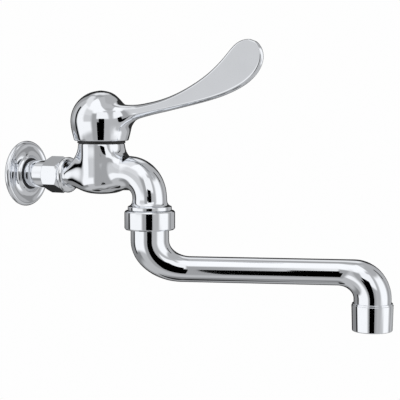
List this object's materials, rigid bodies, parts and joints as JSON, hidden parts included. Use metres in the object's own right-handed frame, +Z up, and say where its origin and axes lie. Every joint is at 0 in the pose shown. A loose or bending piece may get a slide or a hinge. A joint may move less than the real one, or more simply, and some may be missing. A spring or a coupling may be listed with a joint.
{
  "type": "lever sink faucet",
  "caption": "Wall-mounted chrome sink tap with a wing lever on a domed quarter-turn valve, a drop outlet and a long swivel S-spout with an aerator.",
  "frame": {"origin": "centre of the wall flange's back face, on the axis of the inlet thread", "axes": "+X out of the wall along the inlet, +Z up along the valve and spout axes"},
  "size_m": [0.3154, 0.1083, 0.2222],
  "materials": {
    "chrome_plate": "polished chrome plate on brass",
    "bare_brass": "machined, unplated",
    "black_rubber": "matt",
    "white_ceramic": "lapped ceramic",
    "white_nylon": "moulded",
    "grey_plastic": "moulded",
    "fibre_washer": "pressed fibre",
    "stainless_steel": "plain",
    "black_steel": "blackened"
  },
  "bodies": {
    "faucet": {"wall_flange": "chrome_plate", "flange_grip_ring": "black_rubber", "inlet_extension": "chrome_plate", "inlet_washer": "fibre_washer", "inlet_strainer": "stainless_steel", "faucet_body": "chrome_plate", "spout_nut": "chrome_plate", "valve_bonnet": "bare_brass", "bonnet_o_ring": "black_rubber", "seat_seal": "black_rubber", "fixed_disc": "white_ceramic", "spout_bearing_washer": "white_nylon"},
    "lever": {"lever_handle": "chrome_plate", "handle_bush": "white_nylon", "handle_screw": "black_steel", "screw_plug": "grey_plastic", "valve_spindle": "bare_brass", "moving_disc": "white_ceramic", "spindle_o_ring_lower": "black_rubber", "spindle_o_ring_upper": "black_rubber", "glide_washer": "white_nylon", "spindle_clip": "stainless_steel"},
    "spout": {"spout_tube": "chrome_plate", "spout_o_ring_upper": "black_rubber", "spout_o_ring_lower": "black_rubber", "spout_split_ring": "white_nylon", "aerator_housing": "chrome_plate", "aerator_gasket": "black_rubber", "flow_regulator": "white_nylon", "aerator_insert": "grey_plastic", "aerator_screens": "stainless_steel"}
  },
  "joints": [
    {"name": "lever_turn", "type": "hinge", "parent": "faucet", "child": "lever", "pos_m": [0.078, 0, 0], "axis": [0, 0, 1], "range_deg": [0, 90]},
    {"name": "spout_swivel", "type": "hinge", "parent": "faucet", "child": "spout", "pos_m": [0.124, 0, 0], "axis": [0, 0, 1], "range_deg": [-132, 88]}
  ]
}
